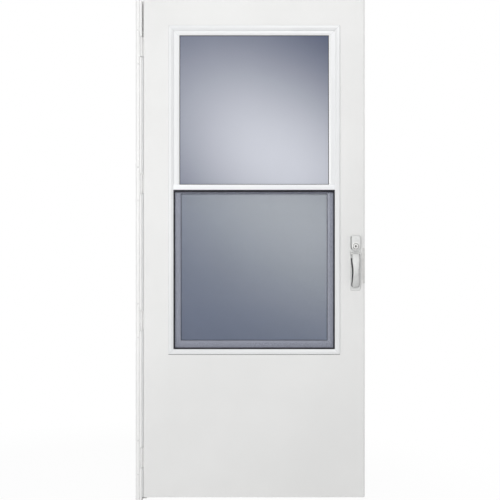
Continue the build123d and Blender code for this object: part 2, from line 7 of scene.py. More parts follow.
# %% Load the solid model
import json
import math
import bmesh
import bpy
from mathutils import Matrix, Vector


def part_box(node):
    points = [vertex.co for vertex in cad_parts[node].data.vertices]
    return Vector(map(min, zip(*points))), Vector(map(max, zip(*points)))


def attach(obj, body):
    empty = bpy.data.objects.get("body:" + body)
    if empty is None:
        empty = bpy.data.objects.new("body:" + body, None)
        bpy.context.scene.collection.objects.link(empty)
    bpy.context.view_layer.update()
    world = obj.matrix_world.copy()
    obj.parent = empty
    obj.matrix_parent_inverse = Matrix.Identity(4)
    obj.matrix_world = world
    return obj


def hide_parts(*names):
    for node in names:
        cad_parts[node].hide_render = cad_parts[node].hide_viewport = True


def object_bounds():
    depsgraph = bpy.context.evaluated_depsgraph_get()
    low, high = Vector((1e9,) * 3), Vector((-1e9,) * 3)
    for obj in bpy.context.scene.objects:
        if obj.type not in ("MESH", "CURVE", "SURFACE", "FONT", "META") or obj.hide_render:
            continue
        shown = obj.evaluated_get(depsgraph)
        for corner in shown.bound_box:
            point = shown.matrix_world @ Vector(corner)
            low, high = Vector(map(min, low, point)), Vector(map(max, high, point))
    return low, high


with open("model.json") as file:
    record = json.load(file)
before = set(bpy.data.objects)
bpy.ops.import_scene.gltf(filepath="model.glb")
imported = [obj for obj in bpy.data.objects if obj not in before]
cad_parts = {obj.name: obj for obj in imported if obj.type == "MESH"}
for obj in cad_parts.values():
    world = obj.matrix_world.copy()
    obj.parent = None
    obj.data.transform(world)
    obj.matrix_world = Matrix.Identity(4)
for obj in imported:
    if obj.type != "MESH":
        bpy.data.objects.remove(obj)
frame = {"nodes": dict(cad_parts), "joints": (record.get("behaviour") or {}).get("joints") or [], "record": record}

cad_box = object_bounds()
parts = frame["nodes"]

# %% [markdown]
# The places that later cells need are read from the solids, so that a screw or a seam still sits right
# if a part changes size. A box gives the lowest and highest corner of one part in metres.

# %% Places read from the solids
MM = 0.001
skin_low, skin_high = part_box("exterior_skin")
surround_low, surround_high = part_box("outer_window_surround")
upper_low, upper_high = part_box("upper_sash_frame")
lower_low, lower_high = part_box("lower_sash_frame")
plate_low, plate_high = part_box("outer_handle_plate")
grip_low, grip_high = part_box("pull_handle")
lock_low, lock_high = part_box("lock_cylinder")
rail_low, rail_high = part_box("hinge_rail")
leaf_middle = (skin_low + skin_high) / 2
handle_x = (grip_low.x + grip_high.x) / 2
lock_centre = (lock_low + lock_high) / 2
leaf_size = skin_high - skin_low
PLATE_THICKNESS = 5.0 * MM
print("leaf width and height:", round(leaf_size.x, 4), round(leaf_size.z, 4))

# %% [markdown]
# A finish is a small network of shader nodes. Writing the sums as ordinary Python keeps it short enough to
# read: `Wire` holds one socket, and adding or multiplying two wires puts a Math node between them.

# %% A socket that can be used in sums
class Wire:
    def __init__(self, finish, socket):
        self.finish = finish
        self.socket = socket

    def math(self, operation, first, second=0.0):
        return self.finish.node("ShaderNodeMath", {"operation": operation}, {0: first, 1: second})

    def __add__(self, other):
        return self.math("ADD", self, other)

    def __radd__(self, other):
        return self.math("ADD", other, self)

    def __sub__(self, other):
        return self.math("SUBTRACT", self, other)

    def __rsub__(self, other):
        return self.math("SUBTRACT", other, self)

    def __mul__(self, other):
        return self.math("MULTIPLY", self, other)

    def __rmul__(self, other):
        return self.math("MULTIPLY", other, self)

    def __truediv__(self, other):
        return self.math("DIVIDE", self, other)

    def __rpow__(self, other):
        return self.math("POWER", other, self)

    def __pow__(self, other):
        return self.math("POWER", self, other)

    def __lt__(self, other):
        return self.math("LESS_THAN", self, other)

    def __gt__(self, other):
        return self.math("GREATER_THAN", self, other)

    def __abs__(self):
        return self.math("ABSOLUTE", self)

    def floor(self):
        return self.math("FLOOR", self)

    def fraction(self):
        return self.math("FRACT", self)

    def most(self, other):
        return self.math("MAXIMUM", self, other)

    def within(self, low, high):
        """How far this value has come from low to high, as 0 to 1."""
        return self.finish.node(
            "ShaderNodeMapRange",
            {"interpolation_type": "SMOOTHSTEP"},
            {"Value": self, "From Min": low, "From Max": high},
        )


# %% [markdown]
# `Finish` is one material while it is being put together. `node` is the only way in which it adds a node:
# it takes the type, then the settings, which have to come first because they decide which sockets exist,
# and last the values or wires of its sockets.

# %% A material that is put together node by node
class Finish:
    def __init__(self, name, block=None):
        self.block = block or bpy.data.materials.new(name)
        self.block.use_nodes = True
        self.tree = self.block.node_tree
        self.tree.nodes.clear()

    def node(self, kind, settings, sockets, out=0):
        made = self.tree.nodes.new(kind)
        for key, value in settings.items():
            if key == "stops":
                ramp = made.color_ramp.elements
                while len(ramp) < len(value):
                    ramp.new(0.5)
                for stop, (place, colour) in zip(ramp, value):
                    stop.position = place
                    stop.color = (*colour, 1.0)
            else:
                setattr(made, key, value)
        for key, value in sockets.items():
            if isinstance(value, Wire):
                self.tree.links.new(value.socket, made.inputs[key])
            else:
                made.inputs[key].default_value = value
        return Wire(self, made.outputs[out]) if made.outputs else made

    def point(self):
        """The point of the surface in the door's own metres."""
        return self.node("ShaderNodeTexCoord", {}, {}, out="Object")

    def places(self):
        """The same point as three wires, with the point itself beside them."""
        point = self.point()
        return [
            self.node("ShaderNodeSeparateXYZ", {}, {"Vector": point}, out=axis) for axis in "XYZ"
        ], point

    def noise(self, point, scale, detail=2.0, roughness=0.5):
        return self.node(
            "ShaderNodeTexNoise",
            {},
            {"Vector": point, "Scale": scale, "Detail": detail, "Roughness": roughness},
        )

    def stretched(self, point, stretch):
        return self.node("ShaderNodeVectorMath", {"operation": "MULTIPLY"}, {0: point, 1: stretch})

    def tint(self, share, first, second):
        """A colour that goes from first to second as share goes from 0 to 1."""
        first = (*first, 1.0) if isinstance(first, tuple) else first
        second = (*second, 1.0) if isinstance(second, tuple) else second
        return self.node("ShaderNodeMix", {"data_type": "RGBA"}, {0: share, 6: first, 7: second}, out=2)

    def bump(self, height, strength, distance):
        return self.node(
            "ShaderNodeBump", {}, {"Height": height, "Strength": strength, "Distance": distance}
        )

    def done(self, sockets):
        """Adds the surface shader with these sockets and closes the material."""
        shader = self.node("ShaderNodeBsdfPrincipled", {}, sockets)
        self.node("ShaderNodeOutputMaterial", {}, {"Surface": shader})
        return self.block


def grey(level):
    """A neutral colour whose brightness on the screen is level, from 0 to 255."""
    share = level / 255
    linear = share / 12.92 if share <= 0.04045 else ((share + 0.055) / 1.055) ** 2.4
    return (linear, linear, linear)


def shade(red, green, blue):
    return tuple(grey(level)[0] for level in (red, green, blue))


finishes = {}
print("finish helpers ready")

# %% [markdown]
# The leaf and the rail are aluminium sheet and extrusion with a baked white enamel. Enamel is never quite
# even: the sprayed coat drifts a little in shade over a hand's width, and its surface has a faint orange
# peel. Two noises give both, one wide and one fine, and the fine one also moves the roughness.

# %% Baked white enamel
def enamel(name, bright, dull, roughness):
    finish = Finish(name)
    point = finish.point()
    drift = finish.noise(point, scale=2.3, detail=3.0)
    peel = finish.noise(point, scale=95.0, detail=2.0)
    cloud = drift.within(0.3, 0.7)
    return finish.done(
        {
            "Base Color": finish.tint(cloud, bright, dull),
            "Roughness": roughness + 0.05 * peel,
            "Normal": finish.bump(peel, strength=0.05, distance=0.002),
            "Specular IOR Level": 0.45,
        }
    )


finishes["white_aluminium"] = enamel(
    "white_enamel", shade(240, 240, 239), shade(236, 236, 235), roughness=0.42
)
# The rail's copy is lighter than the leaf's: painted light for the brighter light on the rail.
finishes["rail_lit_enamel"] = enamel(
    "rail_lit_enamel", shade(250, 250, 249), shade(246, 246, 245), roughness=0.38
)
print("made", finishes["white_aluminium"].name, "and", finishes["rail_lit_enamel"].name)

# %% [markdown]
# The window surround, the sashes and their tracks are moulded or extruded vinyl. It is a cooler, slightly shinier
# white than the enamel. Extruded bars keep faint lines along their length from the die, and the bars of a sash
# meet in a mitre at each corner, which shows as a hairline. Both are drawn by place. The lower sash stands behind
# the screen, and its vinyl gets a darker and bluer tone: painted shade for the bluish shade it stands in there.

# %% Moulded white vinyl with mitred corners
HAIRLINE = 0.0006
SEAM_DEPTH = 0.35


def vinyl(name, bright, dull, low, high):
    """White vinyl. The mitres run in from the corners of the box from low to high."""
    finish = Finish(name)
    (x, y, z), point = finish.places()
    middle = (low + high) / 2
    half = (high - low) / 2
    from_side = half.x - abs(x - middle.x)
    from_end = half.z - abs(z - middle.z)
    seam = 1 - abs(from_side - from_end).within(HAIRLINE / 2, HAIRLINE * 2)
    die_lines = finish.noise(finish.stretched(point, (1.0, 8.0, 1.0)), scale=60.0, detail=2.0)
    cloud = finish.noise(point, scale=4.0, detail=2.0).within(0.35, 0.65)
    base = finish.tint(cloud, bright, dull)
    return finish.done(
        {
            "Base Color": finish.tint(seam * SEAM_DEPTH, base, shade(150, 152, 155)),
            "Roughness": 0.28 + 0.06 * die_lines,
            "Normal": finish.bump(die_lines * 0.3 - seam, strength=0.08, distance=0.001),
            "Specular IOR Level": 0.5,
        }
    )


VINYL_BRIGHT = shade(240, 241, 242)
VINYL_DULL = shade(238, 239, 240)
# The lower sash's copy is darker and bluer: painted shade.
PAINTED_SHADE_BRIGHT = shade(207, 211, 226)
PAINTED_SHADE_DULL = shade(203, 207, 222)
# The meeting rail's copy is lighter than the rest: painted light for the brighter light on the rail.
PAINTED_LIGHT_BRIGHT = shade(253, 254, 255)
PAINTED_LIGHT_DULL = shade(251, 252, 255)
finishes["surround_vinyl"] = vinyl("surround_vinyl", VINYL_BRIGHT, VINYL_DULL, surround_low, surround_high)
finishes["upper_sash_vinyl"] = vinyl("upper_sash_vinyl", VINYL_BRIGHT, VINYL_DULL, upper_low, upper_high)
finishes["meeting_lit_vinyl"] = vinyl("meeting_lit_vinyl", PAINTED_LIGHT_BRIGHT, PAINTED_LIGHT_DULL, rail_low, rail_high)
finishes["lower_sash_shaded_vinyl"] = vinyl("lower_sash_shaded_vinyl", PAINTED_SHADE_BRIGHT, PAINTED_SHADE_DULL, lower_low, lower_high)
finishes["white_vinyl"] = vinyl("plain_vinyl", VINYL_BRIGHT, VINYL_DULL, rail_low, rail_high)
print("made", len([name for name in finishes if "vinyl" in name]), "vinyl finishes")

# %% [markdown]
# The panes are tempered glass. Seen from outdoors they show a soft grey-blue reflection of the sky that is
# brightest near the meeting rail and fades towards the corners. A real pane would show whatever stands in
# front of it, and here that is an empty studio, so the reflection is laid into the glass as a gentle
# gradient by place: a bell curve with a middle, a width, a height and a lean. The two panes hang in
# different planes, so each has a bell of its own. They still let a little through and keep a clear gloss.

# %% Glass with a soft sky in it
BELL_BASE = 2.718
CLOUD_DEPTH = 0.05
PANE_ALPHA = 0.92


def glass(name, darkest, brightest, middle, spread, lean):
    finish = Finish(name)
    (x, y, z), point = finish.places()
    clouds = finish.noise(point, scale=3.1, detail=4.0, roughness=0.55)
    across = x - middle[0]
    along = z - middle[1]
    fall = across * across / spread[0] ** 2 + along * along / spread[1] ** 2 + lean * across * along
    glow = BELL_BASE ** (0 - fall) + CLOUD_DEPTH * (clouds - 0.5)
    return finish.done(
        {
            "Base Color": finish.tint(glow, darkest, brightest),
            "Roughness": 0.05 + 0.03 * clouds,
            "Specular IOR Level": 0.35,
            "Coat Weight": 0.15,
            "Coat Roughness": 0.03,
            "Alpha": PANE_ALPHA,
        }
    )


finishes["clear_glass"] = glass(
    "upper_pane",
    darkest=shade(10, 43, 88),
    brightest=shade(216, 219, 229),
    middle=(0.567, 1.367),
    spread=(0.479, 0.423),
    lean=4.17,
)
finishes["lower_pane"] = glass(
    "lower_pane",
    darkest=shade(148, 160, 184),
    brightest=shade(242, 249, 255),
    middle=(0.625, 1.177),
    spread=(0.493, 0.395),
    lean=5.13,
)
print("made two panes")

# %% [markdown]
# Below the meeting rail an insect screen stands in front of the inner pane. It is woven from coated glass
# yarn, about sixteen yarns to the inch. The holes are made by the weave itself: where neither a warp nor a
# weft yarn passes, the surface is nearly clear. From a distance the eye, like the renderer, only sees a grey
# veil. The yarns are partly clear too, because solid ones drew a darker veil than the photo shows.

# %% Woven insect screen
YARN_PITCH = 0.0016
YARN_WIDTH = 0.30
YARN_ALPHA = 0.34
HOLE_ALPHA = 0.02


def woven_mesh(name):
    finish = Finish(name)
    (x, y, z), point = finish.places()
    warp = (x / YARN_PITCH).fraction()
    weft = (z / YARN_PITCH).fraction()
    over = ((x / YARN_PITCH).floor() + (z / YARN_PITCH).floor()) * 0.5
    is_yarn = (warp < YARN_WIDTH).most(weft < YARN_WIDTH)
    lift = over.fraction() * 2
    dust = finish.noise(point, scale=5.0, detail=3.0)
    return finish.done(
        {
            # The yarn's dark grey is its own colour; its blue tint is a painted reflection of the sky.
            "Base Color": finish.tint(dust.within(0.3, 0.7), shade(62, 66, 86), shade(76, 80, 100)),
            "Roughness": 0.6 + 0.1 * lift,
            "Alpha": is_yarn * YARN_ALPHA + HOLE_ALPHA,
            "Specular IOR Level": 0.3,
        }
    )


finishes["dark_mesh"] = woven_mesh("woven_screen")
print("made", finishes["dark_mesh"].name)

# %% [markdown]
# The screen is held by a dark enamelled frame and a ribbed rubber cord that is rolled into its groove. The
# same black rubber makes the gaskets round the glass. The ribs are a fine wave along the cord.

# %% Dark enamel and black rubber
RIB_PITCH = 0.004


def dark_enamel(name):
    finish = Finish(name)
    point = finish.point()
    speck = finish.noise(point, scale=140.0, detail=2.0)
    return finish.done(
        {
            "Base Color": finish.tint(speck, shade(48, 49, 56), shade(58, 59, 66)),
            "Roughness": 0.4 + 0.1 * speck,
            "Specular IOR Level": 0.4,
        }
    )


def rubber(name):
    finish = Finish(name)
    (x, y, z), point = finish.places()
    bloom = finish.noise(point, scale=30.0, detail=3.0)
    ribs = ((x + z) / RIB_PITCH).fraction()
    return finish.done(
        {
            "Base Color": finish.tint(bloom.within(0.35, 0.75), shade(38, 38, 44), shade(58, 58, 64)),
            "Roughness": 0.7 + 0.15 * bloom,
            "Normal": finish.bump(ribs.within(0.1, 0.5), strength=0.2, distance=0.0004),
            "Specular IOR Level": 0.3,
        }
    )


finishes["dark_aluminium"] = dark_enamel("dark_enamel")
finishes["black_rubber"] = rubber("black_rubber")
print("made dark enamel and rubber")

# %% [markdown]
# The pull and the indoor lever are castings with a pale satin plating. It mirrors its surroundings only a
# little and in a blurred way, while the steel of the latch and the lock is a full metal. Fine brushing along
# the length changes the roughness and the bump.

# %% Satin plated castings and steel
BRUSH_LENGTH = 12.0


def satin_metal(name, bright, dull, roughness, metallic, brushing):
    finish = Finish(name)
    point = finish.point()
    brushed = finish.noise(finish.stretched(point, (brushing, brushing, BRUSH_LENGTH)), scale=1.0, detail=3.0)
    cast = finish.noise(point, scale=70.0, detail=3.0)
    return finish.done(
        {
            "Base Color": finish.tint(cast.within(0.3, 0.7), bright, dull),
            "Metallic": metallic,
            "Roughness": roughness + 0.10 * brushed,
            "Normal": finish.bump(0.6 * brushed + 0.4 * cast, strength=0.08, distance=0.0006),
        }
    )


finishes["white_hardware"] = satin_metal(
    "satin_casting", shade(218, 219, 218), shade(210, 211, 210), roughness=0.5, metallic=0.3, brushing=500.0
)
finishes["satin_steel"] = satin_metal(
    "satin_steel", shade(221, 221, 219), shade(211, 211, 209), roughness=0.34, metallic=1.0, brushing=700.0
)
finishes["bright_lock"] = satin_metal(
    "bright_lock", shade(240, 240, 238), shade(226, 226, 224), roughness=0.2, metallic=0.8, brushing=700.0
)
print("made satin metals")

# %% [markdown]
# The lock stands in a raised housing. Both of its flanks are painted nearly black, a painted shade for the flank
# that lies in shade. The finish asks two things of a point: is it a little behind the face, and does the surface
# there look sideways?

# %% Plate with painted shade on the housing flanks
WALL_STARTS = 0.2 * MM
WALL_ENDS = 13.5 * MM
SIDEWAYS = 0.7


def painted_flank_shade(name, face):
    finish = Finish(name)
    (x, y, z), point = finish.places()
    behind = y - face
    facing = finish.node("ShaderNodeNewGeometry", {}, {}, out="Normal")
    facing_x = finish.node("ShaderNodeSeparateXYZ", {}, {"Vector": facing}, out="X")
    # Painted shade: the flanks that look sideways, just behind the face, turn nearly black.
    painted_shade_wall = (behind > WALL_STARTS) * (behind < WALL_ENDS) * (abs(facing_x) > SIDEWAYS)
    cast = finish.noise(point, scale=70.0, detail=3.0)
    plating = finish.tint(cast.within(0.3, 0.7), shade(224, 225, 224), shade(217, 218, 217))
    return finish.done(
        {
            "Base Color": finish.tint(painted_shade_wall, plating, shade(20, 21, 23)),
            "Metallic": 0.3 * (1 - painted_shade_wall),
            "Roughness": 0.5 + 0.1 * cast,
            "Normal": finish.bump(cast, strength=0.06, distance=0.0006),
        }
    )


finishes["handle_plate"] = painted_flank_shade("handle_plate", plate_low.y)
print("made", finishes["handle_plate"].name)

# %% [markdown]
# The plug that the key turns is bright on its face only. Its slot is painted black, a painted shade for the dark
# keyhole, so the finish turns dark a little way behind the face and in a small oval round the slot.

# %% Plug with painted shade in its slot
SLOT_STARTS = 0.4 * MM
SHADE_HALF_WIDTH = 3.3 * MM
SHADE_HALF_HEIGHT = 4.3 * MM
SHADE_FADES = (0.8, 1.1)


def shaded_slot_plug(name, face, middle):
    finish = Finish(name)
    (x, y, z), point = finish.places()
    across = (x - middle.x) / SHADE_HALF_WIDTH
    along = (z - middle.z) / SHADE_HALF_HEIGHT
    from_slot = (across**2 + along**2) ** 0.5
    # Painted shade: the slot and a small oval round it turn nearly black.
    painted_slot_shade = (y - face).within(0.0, SLOT_STARTS).most(1 - from_slot.within(*SHADE_FADES))
    grain = finish.noise(point, scale=400.0, detail=2.0)
    bright = finish.tint(grain, shade(238, 238, 236), shade(222, 222, 220))
    return finish.done(
        {
            "Base Color": finish.tint(painted_slot_shade, bright, shade(16, 16, 17)),
            "Metallic": 0.8 * (1 - painted_slot_shade),
            "Roughness": 0.2 + 0.6 * painted_slot_shade,
            "Normal": finish.bump(grain, strength=0.06, distance=0.0004),
        }
    )


finishes["plug_steel"] = shaded_slot_plug("plug_steel", lock_low.y, lock_centre)
print("made", finishes["plug_steel"].name)

# %% [markdown]
# Two materials are only seen when the door is open or from its ends: the particle board inside the leaf and
# the brushed pile that seals the hinge side. Board is chips of several tans, which a Voronoi cell pattern
# gives, and pile is a dense nap, a stretched noise that moves both the colour and the bump.

# %% Particle board and pile
def particle_board(name):
    finish = Finish(name)
    point = finish.point()
    chips = finish.node(
        "ShaderNodeTexVoronoi", {}, {"Vector": finish.stretched(point, (1.0, 1.0, 0.4)), "Scale": 160.0},
        out="Color",
    )
    chip = finish.node("ShaderNodeSeparateColor", {}, {"Color": chips}, out="Red")
    return finish.done(
        {
            "Base Color": finish.tint(chip, shade(206, 178, 138), shade(160, 128, 90)),
            "Roughness": 0.8 + 0.1 * chip,
            "Normal": finish.bump(chip, strength=0.3, distance=0.0005),
        }
    )


def pile(name):
    finish = Finish(name)
    point = finish.point()
    nap = finish.noise(finish.stretched(point, (1.0, 0.3, 1.0)), scale=900.0, detail=2.0)
    return finish.done(
        {
            "Base Color": finish.tint(nap.within(0.3, 0.7), shade(178, 178, 178), shade(214, 214, 212)),
            "Roughness": 0.9 + 0.1 * nap,
            "Normal": finish.bump(nap, strength=0.5, distance=0.001),
        }
    )


finishes["wood_core"] = particle_board("particle_board")
finishes["grey_pile"] = pile("grey_pile")
print("finishes in all:", len(finishes))

# %% [markdown]
# Every solid keeps its mesh and only gets a finish. The record says which slot each part has. A few get one
# that was made for them alone: the mitred frames, whose seams follow their own corners, the lower pane, the
# rail, the handle's plate and the lock.

# %% Dress the solids
own_finish = {
    "outer_window_surround": "surround_vinyl",
    "inner_window_surround": "surround_vinyl",
    "upper_sash_frame": "upper_sash_vinyl",
    "lower_sash_frame": "lower_sash_shaded_vinyl",
    "meeting_rail": "meeting_lit_vinyl",
    "lower_glass": "lower_pane",
    "hinge_rail": "rail_lit_enamel",
    "rail_cover": "rail_lit_enamel",
    "lock_cylinder": "bright_lock",
    "lock_plug": "plug_steel",
    "outer_handle_plate": "handle_plate",
}


def smooth_where_round(mesh, degrees):
    """Shades round stretches smoothly and keeps every edge sharper than this angle crisp."""
    mesh.shade_smooth()
    work = bmesh.new()
    work.from_mesh(mesh)
    for edge in work.edges:
        edge.smooth = len(edge.link_faces) == 2 and edge.calc_face_angle(0.0) < math.radians(degrees)
    work.to_mesh(mesh)
    work.free()


for subpart in frame["record"]["subparts"]:
    part = parts[subpart["node"]]
    finish_name = own_finish.get(subpart["node"], subpart["material_slot"])
    part.data.materials.clear()
    part.data.materials.append(finishes[finish_name])

# %% [markdown]
# New pieces all go through one helper. It turns a bmesh into an object, shades it, gives it a finish and
# says which body it moves with, so that a screw on the rail stays behind when the leaf swings.

# %% Put a new piece on a body
def place(name, work, body, slot_name, finish_name=None, angle=35.0):
    bmesh.ops.recalc_face_normals(work, faces=work.faces)
    mesh = bpy.data.meshes.new(name)
    work.to_mesh(mesh)
    work.free()
    smooth_where_round(mesh, angle)
    piece = bpy.data.objects.new(name, mesh)
    bpy.context.scene.collection.objects.link(piece)
    mesh.materials.append(finishes[finish_name or slot_name])
    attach(piece, body)
    print("placed", name, "faces", len(mesh.polygons))
    return piece


def bridge(work, rings, capped=True):
    """Joins each ring of points to the next one with faces, and closes both ends if capped."""
    for near, far in zip(rings, rings[1:]):
        for step in range(len(near)):
            after = (step + 1) % len(near)
            work.faces.new((near[step], near[after], far[after], far[step]))
    if capped:
        work.faces.new(rings[-1])
        work.faces.new(list(reversed(rings[0])))


def circle(radius, height, steps):
    angles = [2 * math.pi * step / steps for step in range(steps)]
    return [Vector((radius * math.cos(angle), radius * math.sin(angle), height)) for angle in angles]


def facing_turn(facing):
    """The turn that takes a shape drawn upwards and makes it look the facing way."""
    return facing.to_track_quat("Z", "Y").to_matrix().to_4x4()


def turned(work, outline, centre, facing, steps=24, hollow=False):
    """Spins an outline of (radius, height) points about the facing direction, starting at centre."""
    turn = facing_turn(facing)
    rings = [
        [work.verts.new(centre + turn @ spot) for spot in circle(radius, height, steps)]
        for radius, height in outline
    ]
    bridge(work, rings + rings[:1] if hollow else rings, capped=not hollow)


print("piece helpers ready")

# %% [markdown]
# The rail is held by pan head screws, two at each hinge. A pan head is a turned shape, so its outline is
# spun round the screw's axis. The cross recess has four arms: it is built as a ring of points on the crown,
# pulled in between the arms, and a smaller ring below it that makes its floor.

# %% Screws with a cross recess
HEAD_RADIUS = 3.6 * MM
HEAD_HEIGHT = 1.9 * MM
RECESS_ARM = 1.9 * MM
RECESS_HALF = 0.45 * MM
RECESS_DEPTH = 1.2 * MM
RECESS_TAPER = 0.45
HEAD_STEPS = 24
HEAD_OUTLINE = ((1.0, 0.0), (1.0, 0.45), (0.93, 0.75), (0.78, 0.95))
LIP_HEIGHT = 5.0 * MM


def screw(work, centre, facing, radius=HEAD_RADIUS, height=HEAD_HEIGHT):
    rings = [circle(radius * share, height * rise, HEAD_STEPS) for share, rise in HEAD_OUTLINE]
    recess = []
    for step in range(HEAD_STEPS):
        angle = 2 * math.pi * step / HEAD_STEPS
        arm_angle = (angle + math.pi / 4) % (math.pi / 2) - math.pi / 4
        reach = min(RECESS_ARM, RECESS_HALF / max(math.sin(abs(arm_angle)), 1e-4))
        recess.append(Vector((reach * math.cos(angle), reach * math.sin(angle), height)))
    rings.append(recess)
    floor_height = height - RECESS_DEPTH
    rings.append([Vector((v.x * RECESS_TAPER, v.y * RECESS_TAPER, floor_height)) for v in recess])
    turn = facing_turn(facing)
    bridge(work, [[work.verts.new(centre + turn @ spot) for spot in ring] for ring in rings])


outdoors = Vector((0, -1, 0))
indoors = Vector((0, 1, 0))
sideways = Vector((1, 0, 0))
upwards = Vector((0, 0, 1))

rail_screws = bmesh.new()
for mount in frame["record"]["mounts"]:
    if mount["kind"] == "bolt_pattern":
        x, y, z = mount["pos_m"]
        for side in (-1, 1):
            spot = Vector((x, -LIP_HEIGHT, z + side * mount["dims"]["spacing_y_mm"] / 2 * MM))
            screw(rail_screws, spot, outdoors)
place("rail_screws", rail_screws, "rail", "white_aluminium")

# %% [markdown]
# Each hinge pin is capped where it comes out of its outer knuckles. The caps are small domes, turned from
# an arc of six points, and they keep the pin from walking out.

# %% Hinge pin caps
CAP_RADIUS = 4.2 * MM
CAP_HEIGHT = 1.6 * MM
CAP_STEPS = 6
HINGES = 4
swing = next(joint for joint in frame["joints"] if joint["name"] == "door_swing")
pin = Vector(swing["pos_m"])
dome = []
for rise in range(CAP_STEPS):
    angle = rise * math.pi / 2 / CAP_STEPS
    dome.append((CAP_RADIUS * math.cos(angle), CAP_HEIGHT * math.sin(angle)))
pin_caps = bmesh.new()
for number in range(1, HINGES + 1):
    low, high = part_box(f"rail_hinge_leaf_{number}")
    turned(pin_caps, dome, Vector((pin.x, pin.y, high.z)), upwards)
    turned(pin_caps, dome, Vector((pin.x, pin.y, low.z)), -upwards)
place("hinge_pin_caps", pin_caps, "rail", "white_aluminium")

# %% [markdown]
# A soft white fin on the rail covers most of the gap beside the leaf, so that the wind doesn't whistle
# through it. It is an extrusion: one small curved section, drawn as two arcs and run up the leaf. It ends at
# the top hinge, where the photo shows the gap darker.

# %% Fin in the hinge gap
FIN_REACH = 3.1 * MM
FIN_THICKNESS = 0.9 * MM
FIN_BOW = 0.6 * MM
WEB_FACE = 13.5 * MM
FIN_STEPS = 8
FIN_TOP = 1.858
fin = bmesh.new()
section = []
for side in (0, 1):
    for step in range(FIN_STEPS + 1):
        share = (step if side == 0 else FIN_STEPS - step) / FIN_STEPS
        bow_here = FIN_BOW * math.sin(math.pi * share)
        thick = FIN_THICKNESS * (1 - 0.5 * share) * side
        section.append((WEB_FACE + FIN_REACH * share, thick - bow_here))
ends = [[fin.verts.new((x, y, z)) for x, y in section] for z in (skin_low.z, FIN_TOP)]
bridge(fin, ends)
place("hinge_gap_fin", fin, "rail", "white_vinyl")

# %% [markdown]
# A thin black strip lies on the leaf round the window surround, a painted shadow for the shade line at the
# moulding's edge. It shows as a fine line round the moulding that is widest below the window, where the shadow
# falls. It is a flat frame of four mitred strips: an inner ring of corners on the moulding's edge and an outer
# ring a hair further out.

# %% Painted shadow round the window surround
SHADOW_SIDE = 0.6 * MM
SHADOW_TOP = 0.9 * MM
SHADOW_FOOT = 2.2 * MM
SHADOW_HEIGHT = 0.5 * MM
# A painted shadow: a thin black strip round the moulding, widest at the foot.
shadow_strip = bmesh.new()
rings = []
for shows in (0, 1):
    left, right = surround_low.x - shows * SHADOW_SIDE, surround_high.x + shows * SHADOW_SIDE
    foot, head = surround_low.z - shows * SHADOW_FOOT, surround_high.z + shows * SHADOW_TOP
    corners = ((left, foot), (right, foot), (right, head), (left, head))
    for y in (skin_low.y, skin_low.y - SHADOW_HEIGHT):
        rings.append([shadow_strip.verts.new((x, y, z)) for x, z in corners])
inner_back, inner_front, outer_back, outer_front = rings
bridge(shadow_strip, [inner_front, outer_front, outer_back, inner_back, inner_front], capped=False)
place("surround_painted_shadow", shadow_strip, "door", "black_rubber")

# %% [markdown]
# The latch's edge plate is held by two flat screws, and the indoor plate by two more that run through the
# leaf into the outer one. They are the same shape, a little smaller, set level with the plate.

# %% Lock set screws
edge_low, edge_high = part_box("latch_edge_plate")
inner_low, inner_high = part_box("inner_handle_plate")
bolt_low, bolt_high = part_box("latch_bolt")
SCREW_SUNK = 0.2 * MM
EDGE_SCREW_INSET = 14.0 * MM
EDGE_SCREW_RADIUS = 3.2 * MM
EDGE_SCREW_HEIGHT = 0.5 * MM
INNER_SCREW_FROM_FOOT = 16.0 * MM
INNER_SCREW_FROM_HEAD = 10.0 * MM
INNER_SCREW_RADIUS = 3.0 * MM
INNER_SCREW_HEIGHT = 1.0 * MM
lock_screws = bmesh.new()
edge_y = (bolt_low.y + bolt_high.y) / 2
for z in (edge_low.z + EDGE_SCREW_INSET, edge_high.z - EDGE_SCREW_INSET):
    spot = Vector((edge_high.x - SCREW_SUNK, edge_y, z))
    screw(lock_screws, spot, sideways, EDGE_SCREW_RADIUS, EDGE_SCREW_HEIGHT)
for z in (inner_low.z + INNER_SCREW_FROM_FOOT, inner_high.z - INNER_SCREW_FROM_HEAD):
    spot = Vector((handle_x, inner_high.y - SCREW_SUNK, z))
    screw(lock_screws, spot, indoors, INNER_SCREW_RADIUS, INNER_SCREW_HEIGHT)
place("lock_set_screws", lock_screws, "door", "satin_steel")

# %% [markdown]
# The pull is a bowed casting. From the front it is broad at the top, narrows to a waist and flares to a
# rounded foot. From the side it stands away from the plate in one long bow. Its shape is lofted: a row of
# rounded sections is set along the bow, each as wide as the outline and as thick as the profile there.
# A subdivision surface then carries the light smoothly over it, as polishing does on the real casting.

# %% The pull's bow and its sections
pull_hinge = next(joint for joint in frame["joints"] if joint["name"] == "pull_swing")
pivot = Vector(pull_hinge["pos_m"])
SECTIONS = 30
SECTION_POINTS = 20
NEARBY = 0.01
HALF_THICKNESS = 5.0 * MM
FOOT_INSET = 3.5 * MM
BOW_SHARE = 0.93
BOW_FULLNESS = 0.8
grip_foot = Vector((handle_x, grip_high.y - FOOT_INSET, grip_low.z + HALF_THICKNESS))
bow_depth = pivot.y - grip_low.y - HALF_THICKNESS


def bow(share):
    """The middle line of the pull, from its pivot (0) to its foot (1)."""
    start = Vector((handle_x, pivot.y, pivot.z))
    chord = start.lerp(grip_foot, share)
    chord.y -= bow_depth * math.sin(math.pi * share) ** BOW_FULLNESS * BOW_SHARE
    return chord


def blend_between(share, stops):
    """A value that passes smoothly through (share, value) stops."""
    for (a, first), (b, second) in zip(stops, stops[1:]):
        if share <= b:
            t = (share - a) / (b - a)
            t = t * t * (3 - 2 * t)
            return first + (second - first) * t
    return stops[-1][1]


